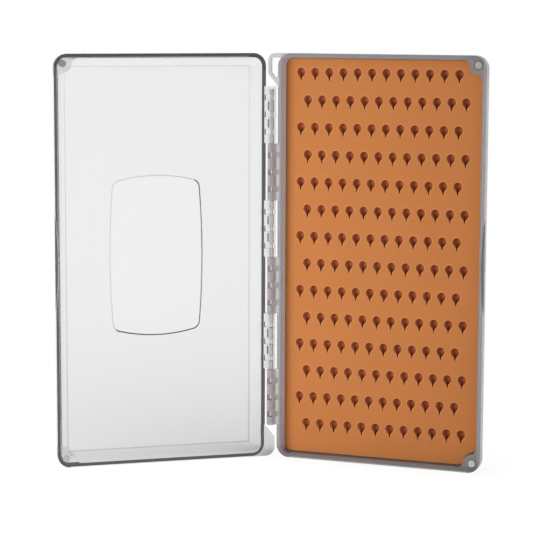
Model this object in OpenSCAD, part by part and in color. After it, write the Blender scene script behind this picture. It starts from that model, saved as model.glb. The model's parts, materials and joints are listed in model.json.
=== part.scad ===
// Slim pocket fly box: a smoke-tinted base with a slit silicone mat, and a clear lid
// on a full-length interleaved hinge, shut by a pair of magnets at each free corner.
//
// Each half is drawn in its own tray frame: X runs from the hinge axis to the free edge,
// Y along the box, and Z from the parting plane into the half. The base then turns to face
// the front, and the lid is swung open about the hinge axis.

/* [Box] */
// Length of each half, along the hinge
box_length = 178.4; // [177:0.2:200]
// Width of each half, from the wall beside the hinge to the free edge
box_width = 92.8; // [84:0.2:104]
// Thickness of the base half
base_depth = 9.5; // [9:0.25:13]
// Thickness of the lid half
lid_depth = 8; // [7.5:0.25:11]
// Radius of the outer corners and of the rounded back edges
corner_r = 5.6; // [5:0.1:6.4]
// Wall thickness, which is also the width of the rim
wall = 1.8; // [1.5:0.1:2.2]
// Thickness of the base floor and the lid panel
floor_t = 1.6; // [1.3:0.1:2]
// Gap between the two rims when the box is shut
rim_gap = 0.2; // [0.1:0.05:0.4]
// How far the lid stands open, where 180 is flat
open_angle = 144; // [0:1:180]

/* [Hinge] */
// From the hinge axis to the walls beside it
hinge_offset = 2.7; // [2.5:0.05:3.2]
// Number of knuckles, shared in turn by lid and base
knuckle_count = 6; // [4:2:6]
// Length of one knuckle with its share of the gap
knuckle_pitch = 25; // [22:0.2:25]
// Gap between neighbouring knuckles
knuckle_gap = 0.2; // [0.1:0.05:0.4]
// Diameter of the knuckles
barrel_d = 3.8; // [3.4:0.1:4.2]
// Depth of the knuckle's web where it meets the wall
web_depth = 3.4; // [2.4:0.1:3.8]
// Diameter of the hinge pin
pin_d = 1.5; // [1.2:0.1:1.8]
// Radial play of the pin in the lid's knuckles
lid_bore_play = 0.06; // [0.03:0.01:0.1]
// Radial play of the pin in the base's knuckles
base_bore_play = 0.02; // [0.01:0.01:0.05]
// Solid end of the top knuckle, above the bore
blind_end = 1.2; // [0.8:0.1:2]
// Play between the pin and the end of the blind bore
pin_end_play = 0.2; // [0.1:0.05:0.4]
// How deep the pin sits inside the bottom knuckle
pin_sink = 3; // [1:0.5:4]
// Chamfer on the pin's ends
pin_chamfer = 0.2; // [0.1:0.05:0.4]
// Core windows in the front of each knuckle
window_count = 3; // [2:1:3]
// Spacing of the core windows
window_pitch = 7.5; // [6:0.5:8]
// Height of a front window, which is also cut through the web
window_h = 2.4; // [2:0.1:3]
// Height of a back window, between two front ones
back_window_h = 3.6; // [3:0.1:4]
// Width of the windows across the barrel
window_w = 2.1; // [1.9:0.1:2.4]

/* [Magnets] */
// Diameter of the disc magnets
magnet_d = 3.1; // [2.8:0.1:3.6]
// Thickness of the disc magnets
magnet_t = 2; // [1.5:0.1:2.4]
// Radial play of a magnet in its pocket
magnet_play = 0.05; // [0.03:0.01:0.1]
// How far a magnet lies below the rim
magnet_sink = 0.05; // [0.02:0.01:0.1]
// From the free edge to the centre of a magnet
magnet_inset = 3.7; // [3.5:0.1:4.2]
// From the box's end to the centre of a magnet
magnet_end = 4.1; // [3.7:0.1:4.5]
// Radius of the corner boss round a magnet
boss_r = 3.9; // [3.5:0.1:4.2]
// Radius that blends the boss into the walls
blend_r = 3; // [2.5:0.1:3.5]

/* [Thumb notch] */
// Length of the notch along the free edge
notch_length = 42; // [30:1:60]
// Greatest depth of the notch into the rim
notch_in = 1.25; // [0.8:0.05:1.4]
// Height of the notch in each half
notch_h = 1.6; // [1:0.1:2.4]

/* [Lanyard loop] */
// How far the loop stands out from the wall
loop_out = 4.5; // [4.1:0.1:4.7]
// Height of the loop where it meets the wall
loop_h = 14.2; // [13:0.1:14.4]
// Height of the loop's outer side, above its slanted foot
loop_side_h = 8.8; // [7:0.1:9.5]
// Width of the bar beside and below the loop's opening
loop_bar = 1.15; // [1:0.05:1.5]
// Width of the bar above the opening
loop_top_bar = 2; // [1.6:0.1:2.4]
// From the box's end down to the opening's foot
loop_foot = 10.2; // [9.5:0.1:10.5]
// Thickness of the loop, and of the lid's matching ear
loop_t = 2; // [1.6:0.1:3]
// Radius of the loop's outer corner
loop_r = 3.2; // [2.6:0.1:3.4]
// Radius where the loop's outer side turns into its slanted foot
loop_turn_r = 1.6; // [1:0.1:2]

/* [Lid panel] */
// Width of the moulded cartouche
cartouche_w = 41.6; // [36:0.1:50]
// Length of the moulded cartouche
cartouche_l = 70.6; // [60:0.1:90]
// Radius of the cartouche's corners
cartouche_r = 4; // [3:0.5:6]
// How far the cartouche's long sides bow out
side_bow = 1.7; // [1:0.1:3]
// How far the cartouche's ends bow out
end_bow = 3.3; // [2:0.1:4]
// How far the cartouche sits above the middle of the lid
cartouche_up = 1.4; // [-3:0.1:3]
// How far the cartouche sits beyond the middle of the lid, towards the free edge
cartouche_out = 1; // [-3:0.1:3]
// Depth of the cartouche below the lid's outer face
cartouche_depth = 0.5; // [0.3:0.1:0.8]
// Width of the stepped border of the cartouche
cartouche_border = 0.6; // [0.3:0.1:1]
// Step of the flat field inside the lid
field_step = 0.2; // [0.1:0.05:0.4]

/* [Silicone mat] */
// Thickness of the mat
mat_t = 3.6; // [3.5:0.1:5]
// Gap between the mat and the walls
mat_gap = 0.4; // [0.2:0.05:0.5]
// Rows of slits
slit_rows = 14; // [8:1:14]
// Slits in one row
slit_cols = 12; // [6:1:12]
// Spacing of the slits in a row; every other row is shifted by half of it
col_pitch = 6.43; // [5.6:0.01:6.5]
// Spacing of the rows
row_pitch = 11.91; // [10:0.01:12]
// From the hinge-side face to the first slit
first_col = 9.2; // [8.5:0.05:11]
// From the top end to the first row
first_row = 8.05; // [7:0.05:10]
// Diameter of the round cup at the head of a slit
cup_d = 3.3; // [2.6:0.1:3.8]
// From the middle of the cup to the tip of its taper
cup_tip = 3.5; // [3:0.1:4]
// Depth of the cup
cup_depth = 2.2; // [1.5:0.1:2.8]
// From the middle of the cup to the end of the slit
slit_end = 4.5; // [4.1:0.1:5]
// Width of the open slit
slit_w = 0.3; // [0.2:0.05:0.5]
// Depth of the slit
slit_depth = 3.2; // [2.9:0.1:3.8]

/* [Hidden] */
$fn = 96;
eps = 0.01;
rim = rim_gap / 2;
inner_r = corner_r - wall;
barrel_r = barrel_d / 2;
// How far a cut runs past the face that it opens
over = 1;
free_edge = hinge_offset + box_width;
hinge_bottom = (box_length - knuckle_count * knuckle_pitch) / 2;
hinge_top = box_length - hinge_bottom;
magnet_pocket = magnet_t + magnet_sink;
base_inner_depth = base_depth - floor_t;
mat_r = inner_r - mat_gap;
notch_r = (pow(notch_length / 2, 2) + pow(notch_in, 2)) / (2 * notch_in);
// Straight runs that stand for one arc of the cartouche's outline
arc_steps = 8;
// The part's origin: middle of the base's flat end, which it stands on
stand_x = hinge_offset + box_width / 2;
stand_y = (rim + base_depth - corner_r) / 2;

// Whole numbers of the knuckles that belong to one half: the lid has the even ones
function knuckles_of(first) = [first : 2 : knuckle_count - 1];
function knuckle_mid(i) = hinge_top - (i + 0.5) * knuckle_pitch;
// Radius of an arc from the length of its chord and its bow
function bow_radius(chord, bow) = (pow(chord / 2, 2) + pow(bow, 2)) / (2 * bow);
function arc_points(c, r, first, last) = [for (i = [0 : arc_steps - 1])
    let (a = first + (last - first) * i / arc_steps) c + r * [cos(a), sin(a)]];
// Outline of the cartouche, drawn in by inset: bowed sides and ends with rounded corners
function cartouche_outline(inset) =
    let (side_r = bow_radius(cartouche_l, side_bow), end_r = bow_radius(cartouche_w, end_bow),
         side_c = [cartouche_w / 2 - side_r, 0], end_c = [0, cartouche_l / 2 - end_r],
         a = side_r - cartouche_r, b = end_r - cartouche_r,
         d = norm(end_c - side_c), u = (end_c - side_c) / d,
         t = (a * a - b * b + d * d) / (2 * d),
         c = side_c + t * u + sqrt(a * a - t * t) * [-u[1], u[0]],
         low = atan2(c[1], c[0] - side_c[0]), high = atan2(c[1] - end_c[1], c[0]),
         side = side_r - inset, end = end_r - inset, corner = cartouche_r - inset)
    [each arc_points(side_c, side, -low, low),
     each arc_points(c, corner, low, high),
     each arc_points(end_c, end, high, 180 - high),
     each arc_points([-c[0], c[1]], corner, 180 - high, 180 - low),
     each arc_points(-side_c, side, 180 - low, 180 + low),
     each arc_points(-c, corner, 180 + low, 180 + high),
     each arc_points(-end_c, end, 180 + high, 360 - high),
     each arc_points([c[0], -c[1]], corner, 360 - high, 360 - low)];

// Section through a slab's side: r wide and d deep, its far edge rounded by e
module side_section(r, d, e) {
    if (d > e) square([r, d - e]);
    if (r > e) square([r - e, d]);
    intersection() {
        translate([r - e, d - e]) circle(e);
        translate([r - e, max(0, d - e)]) square([e, min(d, e)]);
    }
}

// Slab with a rounded outline in X and Y, whose far edges are rounded too
module soft_slab(w, l, d, r, e) {
    translate([r, r, 0]) cube([w - 2 * r, l - 2 * r, d]);
    for (x = [0, 1]) translate([r + x * (w - 2 * r), r, 0]) mirror([1 - x, 0, 0])
        translate([0, l - 2 * r, 0]) rotate([90, 0, 0])
            linear_extrude(l - 2 * r) side_section(r, d, e);
    for (y = [0, 1]) translate([r, r + y * (l - 2 * r), 0]) mirror([0, 1 - y, 0])
        rotate([90, 0, 90]) linear_extrude(w - 2 * r) side_section(r, d, e);
    for (x = [0, 1], y = [0, 1])
        translate([r + x * (w - 2 * r), r + y * (l - 2 * r), 0])
            mirror([1 - x, 0, 0]) mirror([0, 1 - y, 0])
                rotate_extrude(angle = 90) side_section(r, d, e);
}

// Places a shape drawn from an outer corner inwards at both free corners
module at_free_corners() {
    translate([free_edge, 0, 0]) mirror([1, 0, 0]) children();
    translate([free_edge, box_length, 0]) mirror([1, 0, 0]) mirror([0, 1, 0]) children();
}

// Plan of a corner boss with its blends into both walls, drawn grow wider all round
module boss_plan(grow) {
    foot = wall + blend_r;
    translate([magnet_inset, magnet_end]) circle(boss_r + grow);
    for (side = [0, 1]) mirror([side, -side]) {
        near = side == 0 ? magnet_inset : magnet_end;
        far = side == 0 ? magnet_end : magnet_inset;
        top = far + sqrt(pow(boss_r + blend_r, 2) - pow(foot - near, 2));
        difference() {
            polygon([[0, 0], [0, top], [foot, top], [near, far]]);
            translate([foot, top]) circle(blend_r - grow);
        }
    }
}

// One half without its hinge: a tray with rounded back edges and magnet bosses
module tray(depth) {
    translate([hinge_offset, 0, rim])
        soft_slab(box_width, box_length, depth - rim, corner_r, corner_r);
}

// The hollow of a half, with anything more that is sunk into its floor, clear of the bosses
module tray_hollow(depth) {
    difference() {
        union() {
            translate([hinge_offset + wall, wall, -eps])
                soft_slab(box_width - 2 * wall, box_length - 2 * wall, depth - floor_t + eps,
                          inner_r, inner_r);
            children();
        }
        at_free_corners() translate([0, 0, -2 * eps]) linear_extrude(depth) boss_plan(0);
    }
}

module magnet_pockets() {
    at_free_corners() translate([magnet_inset, magnet_end, rim - over])
        cylinder(h = magnet_pocket + over, d = magnet_d + 2 * magnet_play);
}

// Long shallow notch that a thumb nail finds in the middle of the free edge
module thumb_notch() {
    translate([free_edge + notch_r - notch_in, box_length / 2, -over])
        cylinder(h = notch_h + rim + over, r = notch_r, $fn = 360);
}

// Knuckles of one half with the webs that carry them; first is 0 for the lid, 1 for the base
module knuckles(first) {
    len = knuckle_pitch - knuckle_gap;
    for (i = knuckles_of(first)) translate([0, knuckle_mid(i) + len / 2, 0]) rotate([90, 0, 0])
        linear_extrude(len) {
            circle(barrel_r);
            polygon([[0, rim], [hinge_offset + wall / 2, rim],
                     [hinge_offset + wall / 2, web_depth], [hinge_offset, web_depth],
                     [0, barrel_r]]);
        }
}

// Bore and core windows of the same knuckles
module knuckle_cuts(first, play) {
    for (i = knuckles_of(first)) translate([0, knuckle_mid(i), 0]) {
        top = i == 0 ? knuckle_pitch / 2 - blind_end : knuckle_pitch / 2 + over;
        translate([0, top, 0]) rotate([90, 0, 0])
            cylinder(h = top + knuckle_pitch / 2 + over, r = pin_d / 2 + play);
        for (k = [0 : window_count - 1]) {
            y = (k - (window_count - 1) / 2) * window_pitch;
            translate([-window_w / 2, y - window_h / 2, -barrel_r - over])
                cube([window_w, window_h, barrel_r + over]);
            translate([barrel_r, y - window_h / 2, -over])
                cube([hinge_offset - barrel_r, window_h, web_depth + 2 * over]);
        }
        for (k = [0 : window_count - 2]) {
            y = (k - (window_count - 2) / 2) * window_pitch;
            translate([-window_w / 2, y - back_window_h / 2, 0])
                cube([window_w, back_window_h, web_depth + over]);
        }
    }
}

// Outline of the lanyard loop, seen from the parting plane, below the top line y = 0
module loop_outline() {
    left = hinge_offset - loop_out;
    lean = atan((loop_h - loop_side_h) / loop_out);
    turn_y = -loop_side_h + loop_turn_r * (1 - sin(lean)) / cos(lean);
    translate([left + loop_r, -loop_r]) circle(loop_r);
    translate([left + loop_turn_r, turn_y]) circle(loop_turn_r);
    polygon([[left + loop_r, 0], [hinge_offset + corner_r, 0],
             [hinge_offset + corner_r, -corner_r], [hinge_offset + wall / 2, -loop_h],
             [hinge_offset, -loop_h],
             [left + loop_turn_r * (1 - sin(lean)), turn_y - loop_turn_r * cos(lean)],
             [left + loop_turn_r, turn_y], [left, turn_y], [left, -loop_r],
             [left + loop_r, -loop_r]]);
}

// Opening of the loop: its lower corner runs parallel to the loop's slanted foot
module loop_opening() {
    left = hinge_offset - loop_out + loop_bar;
    right = hinge_offset + corner_r;
    slope = (loop_h - loop_side_h) / loop_out;
    side_foot = loop_side_h - loop_bar * sqrt(1 + slope * slope) + loop_bar * slope;
    nick = loop_bar / 2;
    polygon([[left + nick, -loop_top_bar], [right, -loop_top_bar], [right, -loop_foot],
             [left + (loop_foot - side_foot) / slope, -loop_foot],
             [left, -side_foot], [left, -loop_top_bar - nick]]);
}

module lanyard_loop() {
    translate([0, box_length, rim]) linear_extrude(loop_t) difference() {
        loop_outline();
        loop_opening();
    }
}

// Solid ear at the lid's foot, the loop's outline upside down
module lid_ear() {
    translate([0, 0, rim]) mirror([0, 1, 0]) linear_extrude(loop_t) loop_outline();
}

// Cartouche sunk into the lid's outer face in two steps
module cartouche() {
    translate([hinge_offset + box_width / 2 + cartouche_out, box_length / 2 + cartouche_up, lid_depth])
        for (step = [0, 1]) translate([0, 0, -cartouche_depth * (step + 1) / 2])
            linear_extrude(cartouche_depth) polygon(cartouche_outline(step * cartouche_border));
}

// Flat field of the lid's inner face, sunk a little so that its sharp outline shows
module inner_field() {
    translate([hinge_offset + corner_r, corner_r, lid_depth - floor_t - over])
        cube([box_width - 2 * corner_r, box_length - 2 * corner_r, over + field_step]);
}

// One slit's plan: a round cup that tapers to a point, its middle at the origin
module cup_plan() {
    r = cup_d / 2;
    lean = asin(r / cup_tip);
    circle(r);
    polygon([[0, 0], [-r * cos(lean), -r * sin(lean)], [0, -cup_tip], [r * cos(lean), -r * sin(lean)]]);
}

// Places a shape at every slit, in staggered rows from the top end down
module at_slits() {
    for (row = [0 : slit_rows - 1], col = [0 : slit_cols - 1])
        translate([hinge_offset + first_col + (col + (row % 2) / 2) * col_pitch,
                   box_length - first_row - row * row_pitch, 0])
            children();
}

// Turns a tray frame to its place in the part: the base as it is, the lid swung open
module place_base() {
    translate([-stand_x, -stand_y, 0]) mirror([0, 1, 0]) rotate([90, 0, 0]) children();
}

module place_lid() {
    translate([-stand_x, -stand_y, 0]) rotate([0, 0, -open_angle]) rotate([90, 0, 0]) children();
}

module base_shell() {
    color([0.56, 0.53, 0.54, 0.85]) place_base() difference() {
        union() {
            lanyard_loop();
            knuckles(1);
            tray(base_depth);
        }
        tray_hollow(base_depth);
        magnet_pockets();
        thumb_notch();
        knuckle_cuts(1, base_bore_play);
    }
}

module lid_shell() {
    color([0.9, 0.91, 0.92, 0.35]) place_lid() difference() {
        union() {
            lid_ear();
            knuckles(0);
            tray(lid_depth);
        }
        tray_hollow(lid_depth) inner_field();
        cartouche();
        magnet_pockets();
        thumb_notch();
        knuckle_cuts(0, lid_bore_play);
    }
}

module silicone_mat() {
    top = base_inner_depth - mat_t;
    color([0.77, 0.48, 0.28]) place_base() difference() {
        translate([hinge_offset + wall + mat_gap, wall + mat_gap, top])
            soft_slab(box_width - 2 * (wall + mat_gap), box_length - 2 * (wall + mat_gap),
                      mat_t, mat_r, mat_r);
        at_free_corners() translate([0, 0, top - over])
            linear_extrude(mat_t + 2 * over) boss_plan(mat_gap);
        at_slits() {
            translate([0, 0, top - eps]) linear_extrude(cup_depth + eps) cup_plan();
            translate([-slit_w / 2, -slit_end, top - eps]) cube([slit_w, slit_end, slit_depth + eps]);
        }
    }
}

module hinge_pin() {
    low = hinge_bottom + pin_sink;
    high = hinge_top - blind_end - pin_end_play;
    r = pin_d / 2;
    color([0.72, 0.70, 0.69]) place_base() translate([0, low, 0]) rotate([-90, 0, 0])
        rotate_extrude() polygon([[0, 0], [r - pin_chamfer, 0], [r, pin_chamfer],
            [r, high - low - pin_chamfer], [r - pin_chamfer, high - low], [0, high - low]]);
}

// A disc magnet in the boss at y from the box's foot
module magnet(y) {
    translate([free_edge - magnet_inset, y, rim + magnet_sink]) cylinder(h = magnet_t, d = magnet_d);
}

module base_magnet(y) {
    color([0.78, 0.78, 0.77]) place_base() magnet(y);
}

module lid_magnet(y) {
    color([0.62, 0.60, 0.58]) place_lid() magnet(y);
}

base_shell();
lid_shell();
silicone_mat();
hinge_pin();
base_magnet(box_length - magnet_end);  // base_magnet_top
base_magnet(magnet_end);  // base_magnet_bottom
lid_magnet(box_length - magnet_end);  // lid_magnet_top
lid_magnet(magnet_end);  // lid_magnet_bottom
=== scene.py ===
"""Looks of the slim pocket fly box: a smoke base with a slit mat, and a clear lid on a pinned hinge."""
import json
import math

import bmesh
import bpy
from mathutils import Matrix, Vector


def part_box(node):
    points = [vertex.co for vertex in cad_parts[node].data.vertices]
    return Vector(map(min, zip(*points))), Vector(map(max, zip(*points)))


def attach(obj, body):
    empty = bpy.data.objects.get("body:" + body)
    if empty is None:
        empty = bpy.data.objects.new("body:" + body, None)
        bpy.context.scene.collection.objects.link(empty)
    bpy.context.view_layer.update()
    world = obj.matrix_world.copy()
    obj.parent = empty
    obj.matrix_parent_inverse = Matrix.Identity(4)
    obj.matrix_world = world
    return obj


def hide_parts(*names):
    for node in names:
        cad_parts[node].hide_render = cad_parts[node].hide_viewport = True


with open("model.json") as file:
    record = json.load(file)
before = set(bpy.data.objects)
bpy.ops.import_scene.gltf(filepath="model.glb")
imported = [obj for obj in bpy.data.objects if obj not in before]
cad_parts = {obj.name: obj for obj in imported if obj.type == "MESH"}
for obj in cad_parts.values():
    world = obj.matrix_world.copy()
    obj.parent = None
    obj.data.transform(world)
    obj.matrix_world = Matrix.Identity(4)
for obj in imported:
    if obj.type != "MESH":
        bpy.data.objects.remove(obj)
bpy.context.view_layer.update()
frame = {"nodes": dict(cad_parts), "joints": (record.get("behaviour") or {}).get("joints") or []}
nodes = frame["nodes"]

MM = 0.001

# Camera: fitted to the mat's rows of slits and to both rims; angles in degrees
CAMERA_PLACE = Vector((247.05, -802.95, 199.39)) * MM
CAMERA_TURN = 20.4355
CAMERA_TILT = -7.6295
CAMERA_ROLL = 0.193
SENSOR_WIDTH = 36.0
LENS = 132.32
CLIP_NEAR = 0.05
CLIP_FAR = 20.0

# Sizes from the frame, in metres; the lid turns by the open angle to lie shut on the base
HINGE = frame["joints"][0]
HINGE_PLACE = Vector((HINGE["pos_m"][0], HINGE["pos_m"][1], 0.0))
OPEN_ANGLE = HINGE["range_deg"][1]
BASE_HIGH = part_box("base_shell")[1]
BOX_LENGTH = BASE_HIGH.z
BOX_WIDTH = 2 * BASE_HIGH.x
HINGE_OFFSET = -HINGE_PLACE.x - BOX_WIDTH / 2
MAGNET_LOW, MAGNET_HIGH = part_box("base_magnet_bottom")
MAGNET_R = (MAGNET_HIGH.x - MAGNET_LOW.x) / 2
MAGNET_INSET = BOX_WIDTH / 2 - (MAGNET_LOW.x + MAGNET_HIGH.x) / 2
MAGNET_END = (MAGNET_LOW.z + MAGNET_HIGH.z) / 2

# Sizes that the part's source gives and the frame doesn't hold, in metres
LID_DEPTH = 8.0 * MM
CORNER_R = 5.6 * MM
WALL = 1.8 * MM
CARTOUCHE_DEPTH = 0.5 * MM
BOSS_R = 3.9 * MM
BLEND_R = 3.0 * MM
MAT_GAP = 0.4 * MM
MAT_CORNER_R = 3.4 * MM
SLIT_ROWS = 14
SLIT_COLUMNS = 12
COLUMN_PITCH = 6.43 * MM
ROW_PITCH = 11.91 * MM
FIRST_COLUMN = 9.2 * MM
FIRST_ROW = 8.05 * MM

# Plan of one slit: the angles round its cup, and the flanks that draw in to the slit's end
CUP_R = 1.85 * MM
CUP_ARC = (30, 60, 90, 118, 144)
CUP_FLANK = ((0.66 * MM, -1.9 * MM), (0.34 * MM, -2.42 * MM), (0.16 * MM, -3.2 * MM))
SLIT_END = 4.2 * MM

# Section of one slit: a raised lip, a rounded shoulder, and a floor that keeps a share of the plan
LIP_WIDTH = 0.55 * MM
LIP_CREST = 0.35
LIP_HEIGHT = 0.05 * MM
SHOULDER_DROP = 0.12 * MM
CUP_DEPTH = 2.2 * MM
FLOOR_SHARE = (0.85, 0.94)
NECK_START = 1.2 * MM
NECK_FADE = 1.0 * MM

# The mat's moulded front edge, the angles round its back edge, and the steps round its corners
MAT_EDGE_R = 0.3 * MM
MAT_EDGE_MIDDLE = 0.3
MAT_BACK_ARC = (15, 30, 45, 60, 75, 88)
MAT_CORNER_STEPS = 8
BLEND_STEPS = 5

# Sewing and shading: points closer than this are one, and edges past this angle stay sharp
MERGE = 0.001 * MM
SHARP_ANGLE = 28.0
AREA_WEIGHT = 100

# What the plastics take off a ray on its way through them, per metre of depth
CLEAR_TINT = (0.28, 0.28, 0.28, 1)
CLEAR_DENSITY = 54.0
SMOKE_TINT = (0.3, 0.22, 0.2, 1)
SMOKE_DENSITY = 290.0

# What the plastics let through to a shadow
CLEAR_SHADOW = (0.96, 0.96, 0.96, 1)
SMOKE_SHADOW = (0.2, 0.185, 0.175, 1)

# Colours of the faces, with painted shade for the lid's line, the base's magnet rings and foot, and the
# mat's cups and necks, and painted light for the base's sides and the mat's lips; a pair is mixed by the
# moulding's waviness or the steel's streaks
CLEAR_FACE = (0.88, 0.88, 0.88, 1)
CLEAR_LINE_PAINTED_SHADE = (0.25, 0.25, 0.25, 1)
SMOKE_FACE = ((0.7, 0.655, 0.66, 1), (0.74, 0.695, 0.7, 1))
SMOKE_BOSS = (0.36, 0.33, 0.335, 1)
SMOKE_RING_PAINTED_SHADE = (0.16, 0.15, 0.15, 1)
SMOKE_SIDE_PAINTED_LIGHT = (0.96, 0.94, 0.96, 1)
SMOKE_FOOT_PAINTED_SHADE = (0.28, 0.24, 0.235, 1)
MAT_FACE = ((0.565, 0.2, 0.057, 1), (0.595, 0.216, 0.065, 1))
MAT_LIP_PAINTED_LIGHT = (0.74, 0.32, 0.12, 1)
MAT_CUP_PAINTED_SHADE = (0.44, 0.12, 0.046, 1)
MAT_NECK_PAINTED_SHADE = (0.19, 0.042, 0.015, 1)
STEEL = ((0.6, 0.55, 0.52, 1), (0.74, 0.69, 0.66, 1))
NICKEL = ((0.42, 0.4, 0.375, 1), (0.56, 0.54, 0.51, 1))

# Where the marks, painted shades and painted lights on the faces lie, in metres, and how strong they are
FIELD_LINE = (0.1 * MM, 0.35 * MM)
FIELD_LINE_SHADE_FOOT = 0.5
FIELD_LINE_SHADE_TOP = 0.16
SLOPE_PAINTED_SHADE = 0.5
RING_WIDTH = 0.7 * MM
BOSS_SHADE = 0.4
SIDE_REACH = 1.3 * MM
SIDE_START = 0.05 * MM
SIDE_PAINTED_LIGHT = 0.7
SIDE_POLISH = 0.12
FOOT_PAINTED_SHADE = 0.42
LIP_PAINTED_LIGHT = 0.8

# The middle part of a noise's values, which holds nearly all of them
MIDDLE = (0.3, 0.7)

# Diffuse light: its level, the least of it, and how much more comes from both sides and from the right
AMBIENT = 0.49
AMBIENT_LEAST = 0.05
AMBIENT_SIDEWAYS = 1.6
AMBIENT_FROM_RIGHT = 0.45

# Key light
AIM = Vector((-0.02, 0, 0.09))
KEY_PLACE = Vector((-0.2, -0.26, 0.085))
KEY_POWER = 0.74
KEY_SIZE = 0.2

# What the plastics mirror: a grey studio, darker above and below, a soft box and a dark screen
STUDIO_LEVEL = (0.5, 0.5, 0.51, 1)
STUDIO_HIGH = (0.12, 0.12, 0.13, 1)
STUDIO_RISE = (0.2, 0.6)
SOFT_BOX = Vector((-0.33, -0.94, -0.05))
SOFT_BOX_EDGE = (0.88, 0.95)
SOFT_BOX_DROP = 0.115
SOFT_BOX_BAND = (0.06, 0.1)
SOFT_BOX_REST = 0.2
DARK_SCREEN = Vector((0.75, -0.66, -0.08))
DARK_SCREEN_EDGE = (0.88, 0.96)
DARK_SCREEN_GREY = (0.15, 0.15, 0.15, 1)
BACKDROP_EDGE = (-0.2, 0.5)
WHITE = (1, 1, 1, 1)

# The floor, and the painted shadow on it that the lid shows: a wide faint one, and a close one round the
# base's foot
FLOOR_SIZE = 8.0
FLOOR_GLOW = 1.12
FLOOR_GLOW_SHARE = 0.85
FLOOR_MATT = (0.9, 0.9, 0.9, 1)
FLOOR_MATT_PAINTED_SHADOW = (0.1, 0.1, 0.1, 1)
WIDE_SHADE_MIDDLE = (-0.04, -0.01, 0.0)
WIDE_SHADE = 0.4
WIDE_SHADE_FADE = -7.0
CLOSE_SHADE_MIDDLE = (0.0, 0.003)
CLOSE_SHADE_HALF = (0.046, 0.005)
CLOSE_SHADE = 0.75
CLOSE_SHADE_FADE = -120.0


def turned(angle, axis):
    return Matrix.Rotation(math.radians(angle), 4, axis)


def place_camera():
    data = bpy.data.cameras.new("camera")
    data.sensor_width = SENSOR_WIDTH
    data.lens = LENS
    data.clip_start = CLIP_NEAR
    data.clip_end = CLIP_FAR
    camera = bpy.data.objects.new("camera", data)
    bpy.context.scene.collection.objects.link(camera)
    camera.matrix_world = (Matrix.Translation(CAMERA_PLACE) @ turned(CAMERA_TURN, "Z")
                           @ turned(90 + CAMERA_TILT, "X") @ turned(CAMERA_ROLL, "Z"))
    bpy.context.scene.camera = camera


# Nodes


class Nodes:
    """Short calls for one node tree."""

    def __init__(self, tree):
        self.tree = tree

    def add(self, kind, inputs=None, **settings):
        node = self.tree.nodes.new(kind)
        for name, value in settings.items():
            setattr(node, name, value)
        for socket, value in (inputs or {}).items():
            self.feed(node.inputs[socket], value)
        return node

    def feed(self, socket, value):
        if isinstance(value, bpy.types.NodeSocket):
            self.tree.links.new(value, socket)
        else:
            socket.default_value = value

    def math(self, operation, a, b=0.0):
        return self.add("ShaderNodeMath", {0: a, 1: b}, operation=operation).outputs[0]

    def vector_math(self, operation, a, b):
        return self.add("ShaderNodeVectorMath", {0: a, 1: b}, operation=operation)

    def mix_colour(self, factor, a, b):
        node = self.add("ShaderNodeMix", data_type="RGBA")
        for name, value in (("Factor_Float", factor), ("A_Color", a), ("B_Color", b)):
            self.feed(next(s for s in node.inputs if s.identifier == name), value)
        return next(s for s in node.outputs if s.identifier == "Result_Color")

    def map_range(self, value, low_high, to_low, to_high):
        low, high = low_high
        return self.add("ShaderNodeMapRange", {"Value": value, "From Min": low, "From Max": high,
                                               "To Min": to_low, "To Max": to_high}).outputs[0]

    def noise(self, place, scale, detail):
        return self.add("ShaderNodeTexNoise", {"Vector": place, "Scale": scale, "Detail": detail}).outputs[0]

    def object_place(self):
        return self.add("ShaderNodeTexCoord").outputs["Object"]

    def split(self, place):
        return self.add("ShaderNodeSeparateXYZ", {"Vector": place}).outputs

    def attribute(self, name):
        return self.add("ShaderNodeAttribute", attribute_name=name).outputs["Fac"]

    def bump(self, height, strength, distance):
        return self.add("ShaderNodeBump", {"Height": height, "Strength": strength,
                                           "Distance": distance}).outputs[0]

    def principled(self, colour, rough, normal):
        return self.add("ShaderNodeBsdfPrincipled", {"Base Color": colour, "Roughness": rough,
                                                     "Normal": normal})

    def unscattered(self):
        """1 for a ray that no matt face has scattered yet, as the eye and clear plastic send it."""
        depth = self.add("ShaderNodeLightPath").outputs["Diffuse Depth"]
        return self.math("LESS_THAN", depth, 0.5)


def new_material(name):
    """An empty material, its nodes and its output."""
    material = bpy.data.materials.new(name)
    material.use_nodes = True
    material.node_tree.nodes.clear()
    n = Nodes(material.node_tree)
    return material, n, n.add("ShaderNodeOutputMaterial")


def moulding_group():
    """Fine unevenness of a moulded face: a slow waviness and a fine grain."""
    tree = bpy.data.node_groups.new("moulded_face", "ShaderNodeTree")
    for name, value in (("Wave Size", 60.0), ("Grain Size", 1500.0)):
        tree.interface.new_socket(name, in_out="INPUT", socket_type="NodeSocketFloat").default_value = value
    for name in ("Wave", "Grain"):
        tree.interface.new_socket(name, in_out="OUTPUT", socket_type="NodeSocketFloat")
    n = Nodes(tree)
    given = n.add("NodeGroupInput").outputs
    place = n.object_place()
    n.add("NodeGroupOutput", {"Wave": n.noise(place, given["Wave Size"], 2.0),
                              "Grain": n.noise(place, given["Grain Size"], 3.0)})
    return tree


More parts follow.
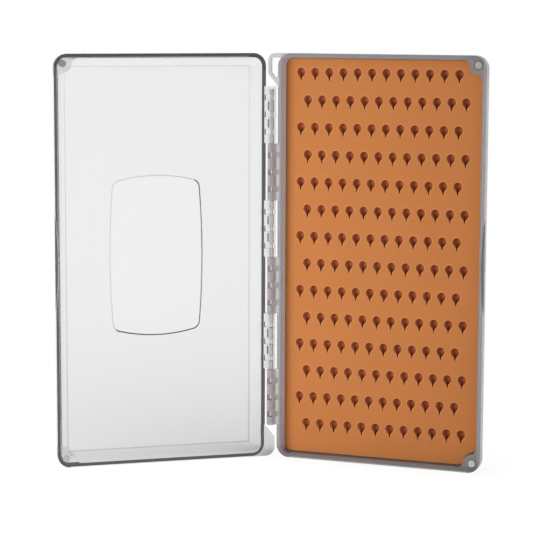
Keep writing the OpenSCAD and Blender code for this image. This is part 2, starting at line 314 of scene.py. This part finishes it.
def scratch_group():
    """Hairline scratches: long thin cells of noise, kept only where a slower noise allows."""
    tree = bpy.data.node_groups.new("hairlines", "ShaderNodeTree")
    for name, value in (("Scale", 300.0), ("Stretch", 30.0), ("Amount", 0.5)):
        tree.interface.new_socket(name, in_out="INPUT", socket_type="NodeSocketFloat").default_value = value
    tree.interface.new_socket("Mask", in_out="OUTPUT", socket_type="NodeSocketFloat")
    n = Nodes(tree)
    given = n.add("NodeGroupInput").outputs
    place = n.object_place()
    squeeze = n.add("ShaderNodeCombineXYZ", {"X": given["Stretch"], "Y": given["Stretch"], "Z": 1.0})
    stretched = n.add("ShaderNodeMapping", {"Vector": place, "Scale": squeeze.outputs[0]})
    stretched.inputs["Rotation"].default_value = (0.3, 0.2, 0.0)
    lines = n.map_range(n.noise(stretched.outputs[0], given["Scale"], 1.0), (0.62, 0.72), 0.0, 1.0)
    kept = n.map_range(n.noise(place, 40.0, 1.0), (0.4, 0.6), 0.0, 1.0)
    mask = n.math("MULTIPLY", n.math("MULTIPLY", lines, kept), given["Amount"])
    n.add("NodeGroupOutput", {"Mask": mask})
    return tree


MOULDING = moulding_group()
HAIRLINES = scratch_group()


def moulded(n, wave_size, grain_size):
    """The unevenness of a moulded face, at this material's own sizes."""
    return n.add("ShaderNodeGroup", {"Wave Size": wave_size, "Grain Size": grain_size},
                 node_tree=MOULDING).outputs


# Plastics


def let_lamps_through(n, shader, output, colour):
    """Shadow rays pass a clear or smoke wall, as lamps do through thin plastic."""
    lamp = n.add("ShaderNodeLightPath").outputs["Is Shadow Ray"]
    through = n.add("ShaderNodeBsdfTransparent")
    through.inputs["Color"].default_value = colour
    mix = n.add("ShaderNodeMixShader", {0: lamp, 1: shader.outputs[0], 2: through.outputs[0]})
    n.feed(output.inputs["Surface"], mix.outputs[0])


def tint(n, output, colour, density):
    """The plastic takes light off by the depth that a ray goes through it."""
    inside = n.add("ShaderNodeVolumeAbsorption")
    inside.inputs["Color"].default_value = colour
    inside.inputs["Density"].default_value = density
    n.feed(output.inputs["Volume"], inside.outputs[0])


def field_line_shade(n):
    """Painted shade in a thin line round the flat field of the lid's panel, stronger at the foot than at the
    top.
    """
    from_hinge = n.vector_math("ADD", n.object_place(), -HINGE_PLACE)
    in_lid = n.add("ShaderNodeVectorRotate", {"Vector": from_hinge.outputs[0],
                                              "Angle": math.radians(OPEN_ANGLE)}, rotation_type="Z_AXIS")
    split = n.split(in_lid.outputs[0])
    sides = []
    for socket, middle, half in (("X", HINGE_OFFSET + BOX_WIDTH / 2, BOX_WIDTH / 2 - CORNER_R),
                                 ("Z", BOX_LENGTH / 2, BOX_LENGTH / 2 - CORNER_R)):
        away = n.math("ABSOLUTE", n.math("SUBTRACT", split[socket], middle))
        sides.append(n.math("SUBTRACT", away, half))
    beside = n.math("ABSOLUTE", n.math("MAXIMUM", *sides))
    strength = n.map_range(split["Z"], (0.0, BOX_LENGTH), FIELD_LINE_SHADE_FOOT, FIELD_LINE_SHADE_TOP)
    return n.math("MULTIPLY", n.map_range(beside, FIELD_LINE, 1.0, 0.0), strength)


def clear_plastic():
    """The lid: clear, polished and a little handled, with painted shade on the line round its field and on
    its cartouche's slope.
    """
    material, n, output = new_material("clear_plastic")
    face = moulded(n, 45.0, 2500.0)
    marks = n.add("ShaderNodeGroup", node_tree=HAIRLINES).outputs["Mask"]
    rough = n.math("ADD", n.map_range(face["Wave"], MIDDLE, 0.015, 0.04), n.math("MULTIPLY", marks, 0.1))
    # Painted shade on the field line and the cartouche's slope, standing in for how their moulded steps bend
    # the light
    painted_line_shade = n.math("MAXIMUM", field_line_shade(n), n.math("MULTIPLY", n.attribute("slope"), SLOPE_PAINTED_SHADE))
    colour = n.mix_colour(painted_line_shade, CLEAR_FACE, CLEAR_LINE_PAINTED_SHADE)
    shader = n.principled(colour, rough, n.bump(face["Wave"], 0.05, 0.3 * MM))
    shader.inputs["Transmission Weight"].default_value = 0.97
    shader.inputs["IOR"].default_value = 1.5
    let_lamps_through(n, shader, output, CLEAR_SHADOW)
    tint(n, output, CLEAR_TINT, CLEAR_DENSITY)
    return material


def from_magnets(n, place):
    """How far each point is from the middles of the base's two magnets, seen from the front."""
    flat = n.vector_math("MULTIPLY", place, (1, 0, 1)).outputs[0]
    middles = [Vector((BOX_WIDTH / 2 - MAGNET_INSET, 0, z)) for z in (MAGNET_END, BOX_LENGTH - MAGNET_END)]
    return [n.vector_math("DISTANCE", flat, middle).outputs["Value"] for middle in middles]


def outer_sides(n, split):
    """1 on the base's outer sides, from the rim to the back."""
    beyond = n.math("GREATER_THAN", n.math("ABSOLUTE", split["X"]), BOX_WIDTH / 2 - SIDE_REACH)
    return n.math("MULTIPLY", beyond, n.math("GREATER_THAN", split["Y"], HINGE_PLACE.y + SIDE_START))


def smoke_plastic():
    """The base: smoke-tinted, darker at its bosses, with painted shade round its magnets and at its foot,
    and glossier on its outer sides, which painted light makes paler.
    """
    material, n, output = new_material("smoke_plastic")
    face = moulded(n, 70.0, 1800.0)
    place = n.object_place()
    split = n.split(place)
    away = from_magnets(n, place)
    bosses = [n.map_range(far, (BOSS_R, BOSS_R + 2 * BLEND_R), BOSS_SHADE, 0.0) for far in away]
    # Painted shade: a dark ring round each magnet, where its pocket's edge lies in shade
    rings = [n.map_range(far, (MAGNET_R, MAGNET_R + RING_WIDTH), 1.0, 0.0) for far in away]
    lit_polished_side = outer_sides(n, split)
    # Painted shade: the base's colour darkens towards its foot on the floor
    foot = n.map_range(split["Z"], (WALL, 3 * WALL), FOOT_PAINTED_SHADE, 0.0)
    colour = n.mix_colour(face["Wave"], *SMOKE_FACE)
    colour = n.mix_colour(n.math("MAXIMUM", *bosses), colour, SMOKE_BOSS)
    colour = n.mix_colour(n.math("MAXIMUM", *rings), colour, SMOKE_RING_PAINTED_SHADE)
    # Painted light: the outer sides are mixed towards a pale colour; their lower roughness below is their
    # own polish
    colour = n.mix_colour(n.math("MULTIPLY", lit_polished_side, SIDE_PAINTED_LIGHT), colour, SMOKE_SIDE_PAINTED_LIGHT)
    colour = n.mix_colour(foot, colour, SMOKE_FOOT_PAINTED_SHADE)
    rough = n.math("SUBTRACT", n.map_range(face["Grain"], MIDDLE, 0.14, 0.24),
                   n.math("MULTIPLY", lit_polished_side, SIDE_POLISH))
    shader = n.principled(colour, rough, n.bump(face["Grain"], 0.08, 0.2 * MM))
    shader.inputs["Transmission Weight"].default_value = 0.68
    shader.inputs["IOR"].default_value = 1.5
    let_lamps_through(n, shader, output, SMOKE_SHADOW)
    tint(n, output, SMOKE_TINT, SMOKE_DENSITY)
    return material


def silicone():
    """The mat: satin orange, with painted light on the cups' lips, and painted shade that makes them redder
    inside and dark in their necks.
    """
    material, n, output = new_material("silicone")
    face = moulded(n, 35.0, 1600.0)
    colour = n.mix_colour(face["Wave"], *MAT_FACE)
    # Painted light on the cups' lips
    colour = n.mix_colour(n.math("MULTIPLY", n.attribute("lip"), LIP_PAINTED_LIGHT), colour, MAT_LIP_PAINTED_LIGHT)
    # Painted shade inside the cups, deepening towards their floors
    colour = n.mix_colour(n.attribute("cup_depth"), colour, MAT_CUP_PAINTED_SHADE)
    # Painted shade deep in the cups' necks
    colour = n.mix_colour(n.attribute("neck"), colour, MAT_NECK_PAINTED_SHADE)
    rough = n.map_range(face["Grain"], MIDDLE, 0.5, 0.62)
    shader = n.principled(colour, rough, n.bump(face["Grain"], 0.25, 0.3 * MM))
    shader.inputs["Specular IOR Level"].default_value = 0.2
    n.feed(output.inputs["Surface"], shader.outputs[0])
    return material


# Metals


def pin_steel():
    """The hinge pin: drawn steel with fine streaks along it."""
    material, n, output = new_material("pin_steel")
    drawn = n.add("ShaderNodeMapping", {"Vector": n.object_place(), "Scale": (9000, 9000, 150)})
    streaks = n.noise(drawn.outputs[0], 1.0, 2.0)
    rough = n.map_range(streaks, MIDDLE, 0.14, 0.26)
    shader = n.principled(n.mix_colour(streaks, *STEEL), rough, n.bump(streaks, 0.15, 0.1 * MM))
    shader.inputs["Metallic"].default_value = 1.0
    n.feed(output.inputs["Surface"], shader.outputs[0])
    return material


def nickel():
    """The magnets: dull plated discs with a few hairlines."""
    material, n, output = new_material("nickel")
    face = moulded(n, 400.0, 6000.0)
    marks = n.add("ShaderNodeGroup", {"Scale": 800.0}, node_tree=HAIRLINES).outputs["Mask"]
    rough = n.math("ADD", n.map_range(face["Grain"], MIDDLE, 0.14, 0.24), n.math("MULTIPLY", marks, 0.15))
    shader = n.principled(n.mix_colour(face["Wave"], *NICKEL), rough, n.bump(face["Wave"], 0.1, 0.1 * MM))
    shader.inputs["Metallic"].default_value = 1.0
    n.feed(output.inputs["Surface"], shader.outputs[0])
    return material


def finish_metal(material, *names):
    for name in names:
        nodes[name].data.materials.clear()
        nodes[name].data.materials.append(material)


# Stage


def close_shade(n, place):
    """1 under the base's foot, fading with the distance from it: where the floor's painted shadow lies."""
    split = n.split(place)
    beyond = []
    for socket, middle, half in zip(("X", "Y"), CLOSE_SHADE_MIDDLE, CLOSE_SHADE_HALF):
        away = n.math("ABSOLUTE", n.math("SUBTRACT", split[socket], middle))
        beyond.append(n.math("MAXIMUM", n.math("SUBTRACT", away, half), 0.0))
    return n.math("EXPONENT", n.math("MULTIPLY", n.math("ADD", *beyond), CLOSE_SHADE_FADE))


def floor_material():
    """Pale floor: nearly white to the eye and in glass, with the object's faint shadow kept, and a painted
    shadow round the object that glass shows and that darkens the matt colour under the base's foot.
    """
    material, n, output = new_material("floor_white")
    in_glass = n.add("ShaderNodeLightPath").outputs["Is Transmission Ray"]
    place = n.object_place()
    close = close_shade(n, place)
    from_box = n.vector_math("DISTANCE", place, WIDE_SHADE_MIDDLE).outputs["Value"]
    wide = n.math("EXPONENT", n.math("MULTIPLY", from_box, WIDE_SHADE_FADE))
    shade = n.math("ADD", n.math("MULTIPLY", wide, WIDE_SHADE), n.math("MULTIPLY", close, CLOSE_SHADE))
    shaded = n.math("SUBTRACT", FLOOR_GLOW, n.math("MINIMUM", shade, 1.0))
    level = n.mix_colour(in_glass, (FLOOR_GLOW, FLOOR_GLOW, FLOOR_GLOW, 1), shaded)
    glow = n.add("ShaderNodeEmission", {"Color": level})
    matt = n.add("ShaderNodeBsdfDiffuse", {"Color": n.mix_colour(close, FLOOR_MATT, FLOOR_MATT_PAINTED_SHADOW)})
    mix = n.add("ShaderNodeMixShader", {0: n.math("MULTIPLY", n.unscattered(), FLOOR_GLOW_SHARE),
                                        1: matt.outputs[0], 2: glow.outputs[0]})
    n.feed(output.inputs["Surface"], mix.outputs[0])
    return material


def studio_colour(n, place, split):
    """The studio that an unscattered ray meets, and the white backdrop behind the object."""
    height = n.math("ABSOLUTE", split["Z"])
    studio = n.mix_colour(n.map_range(height, STUDIO_RISE, 0.0, 1.0), STUDIO_LEVEL, STUDIO_HIGH)
    box = n.vector_math("DOT_PRODUCT", place, SOFT_BOX).outputs["Value"]
    band = n.math("ABSOLUTE", n.math("ADD", split["Z"], SOFT_BOX_DROP))
    strength = n.math("MULTIPLY", n.map_range(box, SOFT_BOX_EDGE, 0.0, 1.0),
                      n.map_range(band, SOFT_BOX_BAND, 1.0, SOFT_BOX_REST))
    studio = n.mix_colour(strength, studio, WHITE)
    screen = n.vector_math("DOT_PRODUCT", place, DARK_SCREEN).outputs["Value"]
    studio = n.mix_colour(n.map_range(screen, DARK_SCREEN_EDGE, 0.0, 1.0), studio, DARK_SCREEN_GREY)
    return n.mix_colour(n.map_range(split["Y"], BACKDROP_EDGE, 0.0, 1.0), studio, WHITE)


def ambient_level(n, split):
    """The diffuse light of a direction: most from both sides, and a little more from the right."""
    across = n.math("POWER", split["X"], 2.0)
    upright = n.math("POWER", split["Z"], 2.0)
    sideways = n.math("MULTIPLY", n.math("SUBTRACT", across, upright), AMBIENT_SIDEWAYS)
    from_right = n.math("MULTIPLY", split["X"], AMBIENT_FROM_RIGHT)
    level = n.math("MULTIPLY", n.math("ADD", n.math("ADD", sideways, from_right), 1.0), AMBIENT)
    return n.math("MAXIMUM", level, AMBIENT_LEAST)


def build_world():
    """The studio as the eye and clear plastic see it, and soft diffuse light for all other rays."""
    world = bpy.data.worlds.new("studio")
    bpy.context.scene.world = world
    world.use_nodes = True
    world.node_tree.nodes.clear()
    n = Nodes(world.node_tree)
    place = n.add("ShaderNodeTexCoord").outputs["Generated"]
    split = n.split(place)
    colour = n.mix_colour(n.unscattered(), ambient_level(n, split), studio_colour(n, place, split))
    shader = n.add("ShaderNodeBackground", {"Color": colour, "Strength": 1.0})
    n.add("ShaderNodeOutputWorld", {"Surface": shader.outputs[0]})


def build_key():
    """A small lamp at the left of the camera, which only matt faces see."""
    data = bpy.data.lights.new("key", "AREA")
    data.energy = KEY_POWER
    data.size = KEY_SIZE
    key = bpy.data.objects.new("key", data)
    bpy.context.scene.collection.objects.link(key)
    key.visible_camera = False
    key.visible_glossy = False
    key.visible_transmission = False
    key.location = KEY_PLACE
    key.rotation_euler = (AIM - KEY_PLACE).to_track_quat("-Z", "Y").to_euler()


def build_stage():
    bpy.ops.mesh.primitive_plane_add(size=FLOOR_SIZE, location=(0, 0, 0))
    floor = bpy.context.object
    floor.name = "floor"
    floor.data.materials.append(floor_material())
    build_world()
    build_key()


# Slit mat


def mesh_object(name, vertices, faces, attributes=None):
    mesh = bpy.data.meshes.new(name)
    mesh.from_pydata(vertices, [], faces)
    for key, values in (attributes or {}).items():
        mesh.attributes.new(key, "FLOAT", "POINT").data.foreach_set("value", values)
    mesh.update()
    thing = bpy.data.objects.new(name, mesh)
    bpy.context.scene.collection.objects.link(thing)
    return thing


def ring_faces(count, rings):
    """Quads between rings of count points each, and one face that closes the last ring."""
    faces = []
    for start in range(0, (rings - 1) * count, count):
        for i in range(count):
            after = (i + 1) % count
            faces.append((start + i, start + after, start + count + after, start + count + i))
    return faces + [tuple((rings - 1) * count + i for i in range(count))]


def cup_outline():
    """Plan of one slit: a round cup whose flanks draw in to the slit, its middle at the origin."""
    arc = [math.radians(angle) for angle in CUP_ARC]
    right = [(CUP_R * math.sin(angle), CUP_R * math.cos(angle)) for angle in arc] + list(CUP_FLANK)
    left = [(-x, y) for x, y in reversed(right)]
    return [Vector(point) for point in ((0.0, CUP_R), *right, (0.0, -SLIT_END), *left)]


def cup_piece():
    """One cup: lip is 1 on the crest, cup_depth grows to 1 at the floor, and neck is 1 deep in the taper."""
    outline = cup_outline()
    outward = []
    for i, point in enumerate(outline):
        along = outline[(i + 1) % len(outline)] - outline[i - 1]
        outward.append(Vector((-along.y, along.x)).normalized())

    def widened(width):
        return [point + away * width for point, away in zip(outline, outward)]

    floor = [Vector((point.x * FLOOR_SHARE[0], point.y * FLOOR_SHARE[1])) for point in outline]
    rings = ((widened(LIP_WIDTH), 0.0, 0.0, 0.0), (widened(LIP_WIDTH * LIP_CREST), LIP_HEIGHT, 1.0, 0.0),
             (outline, -SHOULDER_DROP, 0.1, 0.7), (floor, -CUP_DEPTH, 0.0, 1.0))
    vertices, lip, depth, neck = [], [], [], []
    for places, height, crest, deep in rings:
        for point, place in zip(outline, places):
            down_neck = min(max((-point.y - NECK_START) / NECK_FADE, 0.0), 1.0)
            vertices.append((place.x, place.y, height))
            lip.append(crest)
            depth.append(deep)
            neck.append(down_neck * (1 - crest) if deep else 0.0)
    attributes = {"lip": lip, "cup_depth": depth, "neck": neck}
    return mesh_object("cup", vertices, ring_faces(len(outline), len(rings)), attributes)


def corner_arc(centre, radius, start, end, steps):
    angles = [math.radians(start + (end - start) * i / steps) for i in range(steps + 1)]
    return [(centre[0] + radius * math.cos(angle), centre[1] + radius * math.sin(angle)) for angle in angles]


def boss_blend(near, far):
    """The blend from one wall to a corner boss in the mat's edge, and the angle where it meets the boss."""
    foot = WALL + BLEND_R
    reach = math.sqrt((BOSS_R + BLEND_R) ** 2 - (foot - near) ** 2)
    lean = math.degrees(math.atan2(reach, foot - near))
    return corner_arc((foot, far + reach), BLEND_R - MAT_GAP, 180, 180 + lean, BLEND_STEPS), lean


def boss_path():
    """The mat's edge round a corner boss, from an outer corner inwards: blend, boss and blend again."""
    first, lean = boss_blend(MAGNET_INSET, MAGNET_END)
    last, end_lean = boss_blend(MAGNET_END, MAGNET_INSET)
    middle = corner_arc((MAGNET_INSET, MAGNET_END), BOSS_R + MAT_GAP, lean, 90 - end_lean, MAT_CORNER_STEPS)
    return first + middle[1:-1] + [(y, x) for x, y in reversed(last)]


def mat_outline(low, high, inset):
    """The mat's outline in plan, drawn in by inset, always with the same number of points."""
    edge = WALL + MAT_GAP
    notch = [(max(x - edge, inset), max(y - edge, inset)) for x, y in boss_path()]
    corner = (MAT_CORNER_R, MAT_CORNER_R)
    plain = corner_arc(corner, max(MAT_CORNER_R - inset, 0), 180, 270, MAT_CORNER_STEPS)
    points = [(low.x + x, low.z + y) for x, y in plain]
    points += [(high.x - x, low.z + y) for x, y in reversed(notch)]
    points += [(high.x - x, high.z - y) for x, y in notch]
    return points + [(low.x + x, high.z - y) for x, y in reversed(plain)]


def mat_skirt(low, high):
    """The mat's side and underside, open where the slit sheet goes."""
    middle = MAT_EDGE_R * MAT_EDGE_MIDDLE
    back = MAT_CORNER_R - (high.y - low.y)
    rings = [(MAT_EDGE_R, 0.0), (middle, -middle), (0.0, -MAT_EDGE_R)]
    for angle in map(math.radians, MAT_BACK_ARC):
        rings.append((MAT_CORNER_R * (1 - math.cos(angle)), back - MAT_CORNER_R * math.sin(angle)))
    vertices = []
    for inset, z in rings:
        vertices += [(x, y, z) for x, y in mat_outline(low, high, inset)]
    return mesh_object("mat_skirt", vertices, ring_faces(len(vertices) // len(rings), len(rings)))


def staggered_points(n, given):
    """One point for each slit: rows down the mat, every other row shifted by half a pitch."""
    index = n.add("GeometryNodeInputIndex").outputs[0]
    row = n.math("FLOOR", n.math("DIVIDE", n.math("ADD", index, 0.5), given["Columns"]))
    column = n.math("SUBTRACT", index, n.math("MULTIPLY", row, given["Columns"]))
    shifted = n.math("ADD", column, n.math("MULTIPLY", n.math("FLOORED_MODULO", row, 2.0), 0.5))
    down = n.math("MULTIPLY", n.math("MULTIPLY", row, given["Row Pitch"]), -1.0)
    across = n.math("MULTIPLY", shifted, given["Column Pitch"])
    place = n.add("ShaderNodeCombineXYZ", {"X": across, "Y": down})
    spot = n.vector_math("ADD", place.outputs[0], given["First Cup"]).outputs[0]
    count = n.math("MULTIPLY", given["Rows"], given["Columns"])
    return n.add("GeometryNodePoints", {"Count": count, "Position": spot}).outputs[0]


def joined(n, *parts):
    """The geometry of some nodes as one."""
    join = n.add("GeometryNodeJoinGeometry")
    for part in parts:
        n.tree.links.new(next(s for s in part.outputs if s.type == "GEOMETRY"), join.inputs[0])
    return join.outputs[0]


def sheet_between(n, around):
    """A flat sheet that fills the space between the open edges of the cups and of the skirt."""
    neighbours = n.add("GeometryNodeInputMeshEdgeNeighbors").outputs[0]
    open_edge = n.add("FunctionNodeCompare", data_type="INT", operation="EQUAL")
    for name, value in (("A_INT", neighbours), ("B_INT", 1)):
        n.feed(next(s for s in open_edge.inputs if s.identifier == name), value)
    rims = n.add("GeometryNodeMeshToCurve", {"Mesh": around, "Selection": open_edge.outputs[0]})
    sheet = n.add("GeometryNodeFillCurve", {0: rims.outputs[0]})
    return n.add("GeometryNodeSetShadeSmooth", {"Geometry": sheet.outputs[0], "Shade Smooth": False})


def slit_mat_tree():
    """Cups on staggered points, with the sheet filled in between them and the mat's skirt."""
    tree = bpy.data.node_groups.new("slit_mat", "GeometryNodeTree")
    for name, kind in (("Cup", "Object"), ("Skirt", "Object"), ("Rows", "Int"), ("Columns", "Int"),
                       ("Row Pitch", "Float"), ("Column Pitch", "Float"), ("First Cup", "Vector"),
                       ("Material", "Material")):
        tree.interface.new_socket(name, in_out="INPUT", socket_type=f"NodeSocket{kind}")
    tree.interface.new_socket("Geometry", in_out="OUTPUT", socket_type="NodeSocketGeometry")
    n = Nodes(tree)
    given = n.add("NodeGroupInput").outputs
    cup = n.add("GeometryNodeObjectInfo", {"Object": given["Cup"]}).outputs["Geometry"]
    skirt = n.add("GeometryNodeObjectInfo", {"Object": given["Skirt"]})
    cups = n.add("GeometryNodeInstanceOnPoints", {"Points": staggered_points(n, given), "Instance": cup})
    loose = n.add("GeometryNodeRealizeInstances", {0: cups.outputs[0]})
    around = n.add("GeometryNodeSetShadeSmooth", {"Geometry": joined(n, loose, skirt)})
    whole = joined(n, sheet_between(n, around.outputs[0]), around)
    sewn = n.add("GeometryNodeMergeByDistance", {"Geometry": whole, "Distance": MERGE})
    solid = n.add("GeometryNodeRealizeInstances", {0: sewn.outputs[0]})
    done = n.add("GeometryNodeSetMaterial", {"Geometry": solid.outputs[0], "Material": given["Material"]})
    n.add("NodeGroupOutput", {"Geometry": done.outputs[0]})
    return tree


def grown(name, tree, values):
    """The plain mesh that a geometry tree gives with these named inputs."""
    carrier = mesh_object(name, [], [])
    modifier = carrier.modifiers.new("grow", "NODES")
    modifier.node_group = tree
    keys = {item.name: item.identifier for item in tree.interface.items_tree
            if item.item_type == "SOCKET" and item.in_out == "INPUT"}
    for socket, value in values.items():
        modifier[keys[socket]] = value
    bpy.context.view_layer.update()
    evaluated = carrier.evaluated_get(bpy.context.evaluated_depsgraph_get())
    mesh = bpy.data.meshes.new_from_object(evaluated)
    carrier.modifiers.remove(modifier)
    carrier.data = mesh
    return carrier


def build_mat(material):
    low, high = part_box("silicone_mat")
    cup, skirt = cup_piece(), mat_skirt(low, high)
    edge = WALL + MAT_GAP
    first = (low.x - edge + FIRST_COLUMN, high.z + edge - FIRST_ROW, 0.0)
    mat = grown("slit_mat", slit_mat_tree(), {
        "Cup": cup, "Skirt": skirt, "Rows": SLIT_ROWS, "Columns": SLIT_COLUMNS, "Row Pitch": ROW_PITCH,
        "Column Pitch": COLUMN_PITCH, "First Cup": first, "Material": material})
    for helper in (cup, skirt):
        bpy.data.objects.remove(helper)
    mat.data.transform(Matrix.Translation((0, low.y, 0)) @ turned(90, "X"))
    work = bmesh.new()
    work.from_mesh(mat.data)
    bmesh.ops.recalc_face_normals(work, faces=work.faces)
    work.to_mesh(mat.data)
    work.free()
    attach(mat, "base")
    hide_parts("silicone_mat")


# Shells


def slope_cartouche(work):
    """The two small steps round the lid's cartouche become the one slope that they stand for."""
    slope = work.verts.layers.float.new("slope")
    to_lid = turned(OPEN_ANGLE, "Z") @ Matrix.Translation(-HINGE_PLACE)
    middle = Vector((HINGE_OFFSET + BOX_WIDTH / 2, BOX_LENGTH / 2))
    panel, step, field = [], [], []
    for vertex in work.verts:
        place = to_lid @ vertex.co
        if (Vector((place.x, place.z)) - middle).length > BOX_WIDTH / 2 - CORNER_R:
            continue
        for steps_down, level in enumerate((panel, step, field)):
            if abs(-place.y - LID_DEPTH + steps_down * CARTOUCHE_DEPTH / 2) < 10 * MERGE:
                level.append(vertex)
    places = {vertex: vertex.co.copy() for vertex in (*panel, *step, *field)}

    def nearest(level, vertex):
        return min(level, key=lambda other: (places[other] - places[vertex]).length)

    for vertex in step:
        vertex[slope] = 1.0
        top, floor = nearest(panel, vertex), nearest(field, vertex)
        outer = (places[top] - places[vertex]).length < (places[floor] - places[vertex]).length
        if outer:
            floor = nearest(field, top)
        else:
            top = nearest(panel, floor)
        vertex.co = places[top].lerp(places[floor], 1 / 3 if outer else 2 / 3)


def smooth_shell(node, body, material):
    """A shell's own form with its facets sewn together, so that its rounded edges shade smoothly."""
    work = bmesh.new()
    work.from_mesh(nodes[node].data)
    bmesh.ops.remove_doubles(work, verts=work.verts, dist=MERGE)
    if node == "lid_shell":
        slope_cartouche(work)
    for face in work.faces:
        face.smooth = True
    for edge in work.edges:
        edge.smooth = len(edge.link_faces) == 2 and edge.calc_face_angle(0) < math.radians(SHARP_ANGLE)
    mesh = bpy.data.meshes.new(node + "_smooth")
    work.to_mesh(mesh)
    work.free()
    shell = bpy.data.objects.new(node + "_smooth", mesh)
    bpy.context.scene.collection.objects.link(shell)
    weigh = shell.modifiers.new("flat_faces_lead", "WEIGHTED_NORMAL")
    weigh.mode = "FACE_AREA"
    weigh.weight = AREA_WEIGHT
    weigh.keep_sharp = True
    bpy.context.view_layer.update()
    evaluated = shell.evaluated_get(bpy.context.evaluated_depsgraph_get())
    shell.data = bpy.data.meshes.new_from_object(evaluated)
    shell.modifiers.clear()
    shell.data.materials.append(material)
    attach(shell, body)
    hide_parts(node)


place_camera()
build_stage()
build_mat(silicone())
smooth_shell("base_shell", "base", smoke_plastic())
smooth_shell("lid_shell", "lid", clear_plastic())
finish_metal(nickel(), "base_magnet_top", "base_magnet_bottom", "lid_magnet_top", "lid_magnet_bottom")
finish_metal(pin_steel(), "hinge_pin")

bpy.context.scene.view_settings.view_transform = "Standard"
